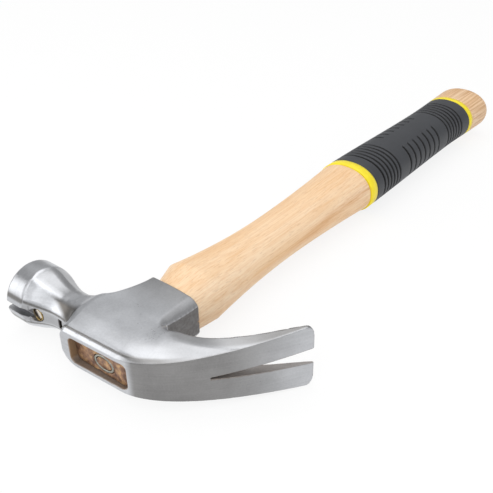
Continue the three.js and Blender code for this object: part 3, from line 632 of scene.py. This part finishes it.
# Painted shade: brown across the magnet on the side of the groove.
shade_span = {1: SHADE_MIDDLE - 0.6 * MM, 2: SHADE_MIDDLE + 0.8 * MM}
plate_shade = add_node(plate, "MapRange", {0: slant[0], **shade_span})
plate_bare = add_node(plate, "Mix", {0: plate_noise, 6: PLATE_DULL, 7: PLATE_BRIGHT}, data_type="RGBA")
plate_tone = add_node(plate, "Mix", {0: plate_shade[0], 6: plate_bare[2], 7: PLATE_SHADE}, data_type="RGBA")
plate_rough = add_node(plate, "MapRange", {0: plate_noise, 1: 0.3, 2: 0.7, 3: 0.18, 4: 0.34})
set_inputs(plate, plate_shader, {"Base Color": plate_tone[2], "Metallic": 1.0, "Roughness": plate_rough[0]})

# Handle: one piece of pale hardwood, turned to ovals and sanded, with a tenon that fills the eye, a swell
# behind the socket, a waist, a seat under the grip and a rounded butt. The ring wedge has its own slot.
TENON_X, TENON_GAP, WOOD_START = 2.5, 0.3, 45.5
GRIP_START, GRIP_END = 183.5, 307.5
SWELL_X, WAIST_X, PINCH_X = 59.5, 115.0, 281.0
SHANK_CURVE = 1.7  # how late the wood widens from the waist to the grip
BUTT_ROUND, BUTT_ROUND_DEEP = 6.0, 3.6
GRIP_SEAT, SEAT_GAP = 3.6, 0.3  # depth of the seat under the grip, and its play at each end
WOOD_POWER, TENON_POWER = 2.15, (9.0, 4.0)
WOOD_BREAK = 0.15  # edges broken with sandpaper
RING_Y, RING_Z, RING_LONG, RING_SHORT, RING_WALL, RING_LENGTH = -1.2, -1.1, 5.7, 4.0, 1.1, 11.0
RING_GAP = 0.3
OVAL_TURNS, SEAT_ROWS, BUTT_ROWS = 160, 24, 16
OVAL_SIZES = np.array([  # half width, half thickness, lean towards the bell's side
    (13.6, 11.5, 0.0),  # where the wood leaves the socket
    (16.9, 13.6, 2.1),  # swell
    (13.45, 10.3, 1.45),  # waist
    (16.6, 13.1, 1.5),  # wood's end at the grip
    (17.3, 13.4, 1.3),  # front of the grip
    (15.55, 12.8, 0.65),  # grip's own waist
    (17.4, 12.8, 0.45),  # butt
])


def handle_outline(x):
    """Half width, half thickness and lean of the handle's oval: straight to the swell, a parabola to the
    waist, a power curve to the grip, then S curves to the grip's own waist and to the butt."""
    rise = np.clip((x - SOCKET_END) / (SWELL_X - SOCKET_END), 0, 1)
    fall = np.clip((WAIST_X - x) / (WAIST_X - SWELL_X), 0, 1) ** 2
    widen = np.clip((x - WAIST_X) / (GRIP_START - WAIST_X), 0, 1) ** SHANK_CURVE
    narrow = ease(x, GRIP_START, PINCH_X)
    spread = ease(x, PINCH_X, HANDLE_END - BUTT_ROUND / 2)
    sizes = []
    for start, swell, waist, end, front, pinch, butt in OVAL_SIZES.T:
        wood = np.where(x < SWELL_X, blend(start, swell, rise), blend(waist, swell, fall))
        wood = np.where(x < WAIST_X, wood, blend(waist, end, widen))
        grip = np.where(x < PINCH_X, blend(front, pinch, narrow), blend(pinch, butt, spread))
        sizes.append(np.where(x < GRIP_START, wood, grip))
    return sizes


def ovals(x, half, thick, offset, power):
    """A row of superellipses |y/half|^p + |z/thick|^p = 1 across x, each shifted along y by offset."""
    oval_turn = np.linspace(0, 2 * np.pi, OVAL_TURNS, endpoint=False)
    bend = 2 / np.broadcast_to(power, x.shape)[:, None]
    across, up = np.cos(oval_turn), np.sin(oval_turn)
    y = offset[:, None] + half[:, None] * np.sign(across) * np.abs(across) ** bend
    z = thick[:, None] * np.sign(up) * np.abs(up) ** bend
    return np.stack([np.broadcast_to(x[:, None], y.shape), y, z], -1)


def wood_rows(x, inward):
    """Rows of the handle's oval at x, drawn in by a depth."""
    half, thick, offset = handle_outline(x)
    return ovals(x, half - inward, thick - inward, offset, WOOD_POWER)


def ring_rows(profile, round_turn):
    """Ovals about the ring wedge's axis, each outside the wedge's own oval by a growth, at an x."""
    grow, x = np.array(profile).T[:, :, None]
    y = RING_Y + (RING_LONG + grow) * np.cos(round_turn)
    z = RING_Z + (RING_SHORT + grow) * np.sin(round_turn)
    return np.stack([np.broadcast_to(x, y.shape), y, z], -1)


tenon_x = np.linspace(TENON_X, WOOD_START - 0.1, 24)
tenon_share = tenon_x / SOCKET_END
tenon_rows = ovals(
    tenon_x, blend(*EYE_LONG, tenon_share) - TENON_GAP, blend(*EYE_SHORT, tenon_share) - TENON_GAP,
    0 * tenon_x, blend(*TENON_POWER, tenon_share),
)
end_y, end_z = tenon_rows[0, :, 1] - RING_Y, tenon_rows[0, :, 2] - RING_Z
SLOT_IN, SLOT_OUT, SLOT_END = -RING_WALL - RING_GAP, RING_GAP, TENON_X + RING_LENGTH + RING_GAP
slot_rows = ring_rows([
    (-RING_SHORT + 0.02, TENON_X), (SLOT_IN - 0.2, TENON_X), (SLOT_IN, TENON_X + 0.2), (SLOT_IN, SLOT_END),
    (SLOT_OUT, SLOT_END), (SLOT_OUT, TENON_X + 0.2), (SLOT_OUT + WOOD_BREAK, TENON_X),
], np.arctan2(end_z / RING_SHORT, end_y / RING_LONG))
shank_x = np.concatenate([
    np.linspace(WOOD_START, SWELL_X - 1.5, 20), np.linspace(SWELL_X - 1.2, SWELL_X + 1.2, 7),
    np.linspace(SWELL_X + 1.6, GRIP_START - 0.6, 150), [GRIP_START - 0.35],
])
shank_in = np.append(np.zeros(len(shank_x) - 1), WOOD_BREAK)
butt_turn = np.linspace(0, np.pi / 2, 14)
butt_x = np.concatenate([
    [GRIP_END + 0.35], np.linspace(GRIP_END + 0.6, HANDLE_END - BUTT_ROUND - 0.5, BUTT_ROWS),
    HANDLE_END - BUTT_ROUND * (1 - np.sin(butt_turn)),
])
butt_in = np.concatenate([[WOOD_BREAK], np.zeros(BUTT_ROWS), BUTT_ROUND_DEEP * (1 - np.cos(butt_turn))])
seat_rows = wood_rows(np.linspace(GRIP_START, GRIP_END, SEAT_ROWS), np.full(SEAT_ROWS, GRIP_SEAT))
seat_rows[:, :, 0] = np.linspace(GRIP_START - SEAT_GAP, GRIP_END + SEAT_GAP, SEAT_ROWS)[:, None]
handle_rows = np.concatenate([
    slot_rows, tenon_rows, wood_rows(shank_x, shank_in), seat_rows, wood_rows(butt_x, butt_in),
])
handle = new_piece("hardwood_handle", *closed_skin(handle_rows), "lacquered_wood", "handle")

# Where the wood has a warmer streak: along the side that faces the claw, rising towards the grip.
STREAK_X, STREAK_Z, STREAK_RISE, STREAK_HALF = 124.0, 0.4, 0.09, 3.2
wood_x, wood_y, wood_z = handle_rows.reshape(-1, 3).T
off_streak = wood_z - STREAK_Z - STREAK_RISE * (wood_x - STREAK_X)
streak = ease(np.abs(off_streak), STREAK_HALF, 0.4) * (wood_y < 0)
streak *= ease(wood_x, 96, 136) * (wood_x < GRIP_START)
handle.data.attributes.new("streak", "FLOAT", "POINT").data.foreach_set("value", streak)

# Pale straight-grained hardwood under satin lacquer: growth lines 0.8 mm apart along the handle, bands of
# 8 mm, pores as faint dashes 0.4 by 4 mm, and a warmer streak. In the eye the end grain is stained brown,
# and the butt is darker along its growth lines, where hands have worn the lacquer.
WOOD_PALE, WOOD_WARM, WOOD_LINE = linear("#F6DCBC"), linear("#EEC79A"), linear("#DDA870")
WOOD_PORE, WOOD_STREAK, WOOD_WORN = linear("#A8703E"), linear("#C98A4E"), linear("#BC8E60")
END_TONES = (0.3, "#553C2E"), (0.43, "#7C5B47"), (0.55, "#9C775A"), (0.68, "#C29C6C")
EYE_STAIN = (EYE_PLACE[0] + 25.0) * MM, (EYE_PLACE[0] + 12.0) * MM
BUTT_WEAR = (EYE_PLACE[0] + 270.0) * MM, (EYE_PLACE[0] + HANDLE_END) * MM
wood, wood_shader, wood_at = new_material("lacquered_hardwood", handle)
band_at = add_node(wood, "Mapping", {0: wood_at, "Scale": repeats(166.7, 8.0, 8.0)})
bands = add_node(wood, "TexNoise", {0: band_at[0], "Scale": 1.0, "Detail": 2.0})
grain_at = add_node(wood, "Mapping", {0: wood_at, "Scale": repeats(35.71, 0.7692, 0.7692)})
grain = add_node(wood, "TexNoise", {0: grain_at[0], "Scale": 1.0, "Detail": 3.0, "Distortion": 0.3})[0]
pore_at = add_node(wood, "Mapping", {0: wood_at, "Scale": repeats(3.846, 0.3846, 0.3846)})
pores = add_node(wood, "TexNoise", {0: pore_at[0], "Scale": 1.0, "Detail": 1.0})
warm_share = add_node(wood, "MapRange", {0: bands[0], 1: 0.35, 2: 0.7})
tan = add_node(wood, "Mix", {0: warm_share[0], 6: WOOD_PALE, 7: WOOD_WARM}, data_type="RGBA")
line_share = add_node(wood, "MapRange", {0: grain, 1: 0.38, 2: 0.72, 3: 0.0, 4: 0.5})
lined = add_node(wood, "Mix", {0: line_share[0], 6: tan[2], 7: WOOD_LINE}, data_type="RGBA")
pore_share = add_node(wood, "MapRange", {0: pores[0], 1: 0.58, 2: 0.72, 3: 0.0, 4: 0.24})
dashed = add_node(wood, "Mix", {0: pore_share[0], 6: lined[2], 7: WOOD_PORE}, data_type="RGBA")
streak_value = add_node(wood, "Attribute", {}, attribute_name="streak")["Fac"]
faint_grain = add_node(wood, "MapRange", {0: grain, 1: 0.2, 2: 0.8, 3: 0.1, 4: 0.55})
streak_share = add_node(wood, "Math", {0: streak_value, 1: faint_grain[0]}, operation="MULTIPLY")
streaked = add_node(wood, "Mix", {0: streak_share[0], 6: dashed[2], 7: WOOD_STREAK}, data_type="RGBA")
along_wood = add_node(wood, "SeparateXYZ", {0: wood_at})[0]
wear_share = add_node(wood, "MapRange", {0: along_wood, 1: BUTT_WEAR[0], 2: BUTT_WEAR[1], 4: 0.6})
wear_grain = add_node(wood, "MapRange", {0: grain, 1: 0.38, 2: 0.64, 3: 0.25, 4: 1.35})
wear = add_node(wood, "Math", {0: wear_share[0], 1: wear_grain[0]}, operation="MULTIPLY")
worn = add_node(wood, "Mix", {0: wear[0], 6: streaked[2], 7: WOOD_WORN}, data_type="RGBA")
stain_share = add_node(wood, "MapRange", {0: along_wood, 1: EYE_STAIN[0], 2: EYE_STAIN[1]})
end_scale = {0: wood_at, "Scale": repeats(2.632), "Detail": 6.0, "Distortion": 0.5}
end_tone = add_node(wood, "ValToRGB", {0: add_node(wood, "TexNoise", end_scale)[0]})[0]
end_stops = end_tone.node.color_ramp.elements
for place, tone in END_TONES:
    end_stops.new(place).color = linear(tone)
end_stops[0].color = linear(END_TONES[0][1])
end_stops[-1].color = linear(END_TONES[-1][1])
wood_tone = add_node(wood, "Mix", {0: stain_share[0], 6: worn[2], 7: end_tone}, data_type="RGBA")
wood_rough = add_node(wood, "MapRange", {0: grain, 1: 0.3, 2: 0.7, 3: 0.42, 4: 0.58})
wood_bump = add_node(wood, "Bump", {"Strength": 0.12, "Distance": 0.2 * MM, "Height": dashed[2]})
set_inputs(wood, wood_shader, {
    "Base Color": wood_tone[2], "Roughness": wood_rough[0], "IOR": 1.5,
    "Normal": wood_bump[0],
})

# Ring wedge: a short oval of drawn steel tube with a thin buried edge. It is driven into the tenon's end
# to spread the wood against the eye.
WEDGE_BREAK = 0.25
WEDGE_END = TENON_X + RING_LENGTH
wedge_grid = ring_rows([
    (-RING_WALL, TENON_X + WEDGE_BREAK), (0.2 - RING_WALL, TENON_X), (-0.2, TENON_X),
    (0.0, TENON_X + WEDGE_BREAK), (0.0, WEDGE_END - 0.1), (-0.1, WEDGE_END),
    (0.35 - RING_WALL, WEDGE_END), (0.3 - RING_WALL, WEDGE_END - 0.2),
], np.linspace(0, 2 * np.pi, ROUND_TURNS, endpoint=False))
wedge = new_piece("steel_ring_wedge", *closed_skin(wedge_grid, wrap=True), "wedge_steel", "ring_wedge")

# Drawn steel tube, bright with fine marks where the driver struck it.
TUBE_DARK, TUBE_LIGHT = linear("#74746C"), linear("#C6C6BC")
tube, tube_shader, tube_at = new_material("bright_drawn_steel", wedge)
tube_noise = add_node(tube, "TexNoise", {0: tube_at, "Scale": repeats(1.25), "Detail": 3.0})[0]
tube_tone = add_node(tube, "Mix", {0: tube_noise, 6: TUBE_DARK, 7: TUBE_LIGHT}, data_type="RGBA")
tube_rough = add_node(tube, "MapRange", {0: tube_noise, 1: 0.3, 2: 0.7, 3: 0.3, 4: 0.5})
set_inputs(tube, tube_shader, {"Base Color": tube_tone[2], "Metallic": 1.0, "Roughness": tube_rough[0]})

# Grip liner: a tube of yellow polypropylene moulded onto the wood's seat. Its two end collars stand up to
# the black sleeve and are all of it that shows.
COLLAR_FRONT, COLLAR_BACK, COLLAR_ROUND = 5.7, 3.7, 0.25
SLEEVE_WALL, SLEEVE_GAP, LINER_BORE = 1.8, 0.3, 3.3
LINER_ROWS = 24
collar_steps = np.array([0.0, COLLAR_ROUND, -COLLAR_ROUND, 0.0])
collar_in = np.array([COLLAR_ROUND, 0.0, 0.0, COLLAR_ROUND])
liner_x = np.concatenate([
    GRIP_START + np.array([0.0, 0.0, COLLAR_FRONT, COLLAR_FRONT]) + collar_steps,
    np.linspace(GRIP_START + COLLAR_FRONT, GRIP_END - COLLAR_BACK, LINER_ROWS),
    GRIP_END - np.array([COLLAR_BACK, COLLAR_BACK, 0.0, 0.0]) + collar_steps,
    np.linspace(GRIP_END, GRIP_START, LINER_ROWS),
])
liner_in = np.concatenate([
    collar_in, np.full(LINER_ROWS, SLEEVE_WALL + SLEEVE_GAP), collar_in, np.full(LINER_ROWS, LINER_BORE),
])
liner_skin = closed_skin(wood_rows(liner_x, liner_in), wrap=True)
liner = new_piece("yellow_grip_liner", *liner_skin, "yellow_polymer", "grip_liner")

# Moulded polypropylene: clean yellow, smooth with a faint moulding unevenness.
YELLOW_DEEP, YELLOW_CLEAR = linear("#F0D818"), linear("#F9E62E")
yellow, yellow_shader, yellow_at = new_material("yellow_polypropylene", liner)
wavy = add_node(yellow, "TexNoise", {0: yellow_at, "Scale": repeats(2.5), "Detail": 3.0})
yellow_tone = add_node(yellow, "Mix", {0: wavy[0], 6: YELLOW_DEEP, 7: YELLOW_CLEAR}, data_type="RGBA")
set_inputs(yellow, yellow_shader, {"Base Color": yellow_tone[2], "Roughness": 0.42, "IOR": 1.49})

# Grip sleeve: soft black rubber moulded over the liner, with grooves all round near both ends and grooves
# on its two narrow sides between them.
SLEEVE_START, SLEEVE_END = GRIP_START + COLLAR_FRONT + SLEEVE_GAP, GRIP_END - COLLAR_BACK - SLEEVE_GAP
SLEEVE_ROUND, BORE_ROWS = 0.4, 24
GROOVE_WIDTH, GROOVE_DEPTH = 2.0, 1.15
RING_GROOVES, RING_PITCH, RING_FRONT, RING_BACK = 6, 3.5, 7.9, 9.8
SIDE_PITCH = 5.93
ring_grooves = np.concatenate([
    SLEEVE_START + RING_FRONT + RING_PITCH * np.arange(RING_GROOVES),
    SLEEVE_END - RING_BACK - RING_PITCH * np.arange(RING_GROOVES),
])
side_grooves = ring_grooves[[RING_GROOVES - 1, -1]].mean() + SIDE_PITCH * np.arange(-3, 4)
wall_steps = np.array([0.45, 0.65, 0.85, 1.0, 1.15])
groove_steps = GROOVE_WIDTH / 2 * np.concatenate([-wall_steps[::-1], [0.0], wall_steps])
sleeve_x = np.unique(np.concatenate([
    [SLEEVE_START, SLEEVE_START + 0.12, SLEEVE_START + SLEEVE_ROUND],
    np.linspace(SLEEVE_START + 1, SLEEVE_END - 1, 60),
    (np.append(ring_grooves, side_grooves)[:, None] + groove_steps).ravel(),
    [SLEEVE_END - SLEEVE_ROUND, SLEEVE_END - 0.12, SLEEVE_END],
]))


def groove_depth(x, grooves):
    """Depth of the nearest groove at x: full over its middle, with walls that ease out to its edges."""
    away = np.abs(x[:, None] - grooves).min(1) / (GROOVE_WIDTH / 2)
    return GROOVE_DEPTH * (1 - ease(away, 0.5, 1.0))[:, None]


across_sleeve = np.cos(np.linspace(0, 2 * np.pi, OVAL_TURNS, endpoint=False))
side_reach = ease(across_sleeve, 0.14, 0.24) + ease(-across_sleeve, 0.52, 0.62)
front_round = ease(sleeve_x, SLEEVE_START + SLEEVE_ROUND, SLEEVE_START)
back_round = ease(sleeve_x, SLEEVE_END - SLEEVE_ROUND, SLEEVE_END)
groove_in = groove_depth(sleeve_x, ring_grooves) + groove_depth(sleeve_x, side_grooves) * side_reach
sunk = groove_in + SLEEVE_ROUND * (front_round + back_round)[:, None]
sleeve_half, sleeve_thick, sleeve_lean = (size[:, None] for size in handle_outline(sleeve_x))
outside = wood_rows(sleeve_x, np.zeros(len(sleeve_x)))
outside[..., 1] = sleeve_lean + (outside[..., 1] - sleeve_lean) * (1 - sunk / sleeve_half)
outside[..., 2] *= 1 - sunk / sleeve_thick
bore = wood_rows(np.linspace(SLEEVE_END, SLEEVE_START, BORE_ROWS), np.full(BORE_ROWS, SLEEVE_WALL))
sleeve_skin = closed_skin(np.concatenate([outside, bore]), wrap=True)
sleeve = new_piece("black_grip_sleeve", *sleeve_skin, "black_rubber", "grip_sleeve")

# How deep each place lies in a groove, from 0 to 1, so that the grooves can be painted dark as shade.
groove_share = np.append(groove_in.ravel() / GROOVE_DEPTH, np.zeros(BORE_ROWS * OVAL_TURNS))
sleeve.data.attributes.new("groove", "FLOAT", "POINT").data.foreach_set("value", groove_share)

# Soft thermoplastic rubber: charcoal and matte, painted nearly black in its grooves as shade, with the fine
# spark texture of its mould, about 0.3 mm, drawn at 0.6 mm so that it shows.
CHARCOAL_DARK, CHARCOAL_LIGHT, GROOVE_SHADE = linear("#303236"), linear("#3C3E43"), linear("#08090A")
rubber, rubber_shader, rubber_at = new_material("matte_rubber", sleeve)
spark = add_node(rubber, "TexNoise", {0: rubber_at, "Scale": repeats(0.625), "Detail": 2.0})
haze = add_node(rubber, "TexNoise", {0: rubber_at, "Scale": repeats(11.11), "Detail": 2.0})
charcoal = add_node(rubber, "Mix", {0: haze[0], 6: CHARCOAL_DARK, 7: CHARCOAL_LIGHT}, data_type="RGBA")
groove_value = add_node(rubber, "Attribute", {}, attribute_name="groove")
# Painted shade: the grooves darken with their depth.
groove_dark = add_node(rubber, "MapRange", {0: groove_value["Fac"], 1: 0.1, 2: 0.5})
rubber_tone = add_node(rubber, "Mix", {0: groove_dark[0], 6: charcoal[2], 7: GROOVE_SHADE}, data_type="RGBA")
rubber_bump = add_node(rubber, "Bump", {"Strength": 0.25, "Distance": 0.2 * MM, "Height": spark[0]})
set_inputs(rubber, rubber_shader, {
    "Base Color": rubber_tone[2], "Roughness": 0.52, "IOR": 1.5, "Normal": rubber_bump[0],
})

# Studio: a plain pale paper floor under the hammer, soft boxes overhead, behind and to the left, and a
# room that is dim between them. The floor's own white shows to the camera and in the metal, over the
# shadow that the hammer lays on it.
FLOOR_SIZE, FLOOR_WHITE = 6.0, 0.85  # metres, and the share of that white against the lit paper
bpy.ops.mesh.primitive_grid_add(x_subdivisions=2, y_subdivisions=2, size=FLOOR_SIZE, location=(0, 0, 0))
floor = bpy.context.object
floor.name = "studio_floor"
paper, paper_shader = new_material("white_paper_floor", floor)[:2]
paper_look = {"Base Color": linear("#F8F8F8"), "Roughness": 0.9, "Specular IOR Level": 0.1}
set_inputs(paper, paper_shader, paper_look)
ray = add_node(paper, "LightPath", {})
seen = add_node(paper, "Math", {0: ray["Is Camera Ray"], 1: ray["Is Glossy Ray"]}, operation="MAXIMUM")
seen_all = add_node(paper, "Math", {0: seen[0], 1: ray["Is Transmission Ray"]}, operation="MAXIMUM")
white_share = add_node(paper, "Math", {0: seen_all[0], 1: FLOOR_WHITE}, operation="MULTIPLY")
white = add_node(paper, "Emission", {"Color": (1.0, 1.0, 1.0, 1.0), "Strength": 1.0})
paper_mix = {0: white_share[0], 1: paper_shader.outputs[0], 2: white[0]}
paper_surface = add_node(paper, "MixShader", paper_mix)[0]
set_inputs(paper, paper.node_tree.nodes["Material Output"], {"Surface": paper_surface})

LAMP_DISTANCE = 1.2
HEAD_MIDDLE = np.array([-0.12, 0.0, 0.02])


def soft_box(name, toward, size, power):
    """A square lamp in a direction from the head, turned to face it."""
    toward = np.array(toward) / np.linalg.norm(toward)
    lamp = bpy.data.lights.new(name, "AREA")
    lamp.shape, lamp.size, lamp.energy = "SQUARE", size, power
    holder = bpy.data.objects.new(name, lamp)
    holder.location = HEAD_MIDDLE + LAMP_DISTANCE * toward
    holder.rotation_euler = [np.arccos(toward[2]), 0, np.arctan2(toward[1], toward[0]) + np.pi / 2]
    bpy.context.scene.collection.objects.link(holder)


soft_box("box_overhead", (0.05, 0.15, 0.98), 1.1, 4.4)
soft_box("box_left_back", (-0.65, 0.66, 0.36), 0.8, 3.1)
soft_box("box_left", (-0.78, 0.0, 0.62), 0.5, 1.0)
soft_box("box_camera_side", (-0.45, -0.5, 0.74), 1.0, 4.65)
WALL_TONES = {  # brightness over the height of a direction
    "left": ((0.0, 0.25), (0.04, 0.25), (0.1, 0.6), (0.5, 0.6), (0.58, 0.14), (0.74, 0.14), (0.8, 0.85)),
    "right": ((0.0, 0.5), (0.2, 0.5), (0.5, 0.5), (0.62, 0.58), (0.72, 0.9)),
}
WALL_TURN = 0.1, 0.35  # where the left wall gives way to the right one, along x
room = bpy.data.worlds.new("studio_room")
bpy.context.scene.world = room
room.use_nodes = True
direction = add_node(room, "TexCoord", {})["Generated"]
room_place = add_node(room, "SeparateXYZ", {0: direction})
walls = []
for tones in WALL_TONES.values():
    wall = add_node(room, "ValToRGB", {0: room_place["Z"]})[0]
    stops = wall.node.color_ramp.elements
    for place, tone in tones[2:]:
        stops.new(place)
    for stop, (place, tone) in zip(stops, tones):
        stop.position, stop.color = place, (tone, tone, tone, 1.0)
    walls.append(wall)
to_right = add_node(room, "MapRange", {0: room_place["X"], 1: WALL_TURN[0], 2: WALL_TURN[1]})
room_tone = add_node(room, "Mix", {0: to_right[0], 6: walls[0], 7: walls[1]}, data_type="RGBA")
set_inputs(room, room.node_tree.nodes["Background"], {"Color": room_tone[2]})
bpy.context.scene.view_settings.view_transform = "Standard"

# Camera: stands off the eye's end, a little over the claw's side, at the photograph's angle. Its place,
# turn and lens of 55.7 mm on a 36 mm frame come from fitting the hammer's outline.
camera_data = bpy.data.cameras.new("photo_camera")
camera_data.lens, camera_data.sensor_width = 55.685, 36.0
camera_data.clip_start, camera_data.clip_end = 0.01, 20.0
camera = bpy.data.objects.new("photo_camera", camera_data)
camera.location = (-0.304185, -0.191181, 0.216)
camera.rotation_euler = np.radians([57.3887, 0.9972, -51.1685])
bpy.context.scene.collection.objects.link(camera)
bpy.context.scene.camera = camera
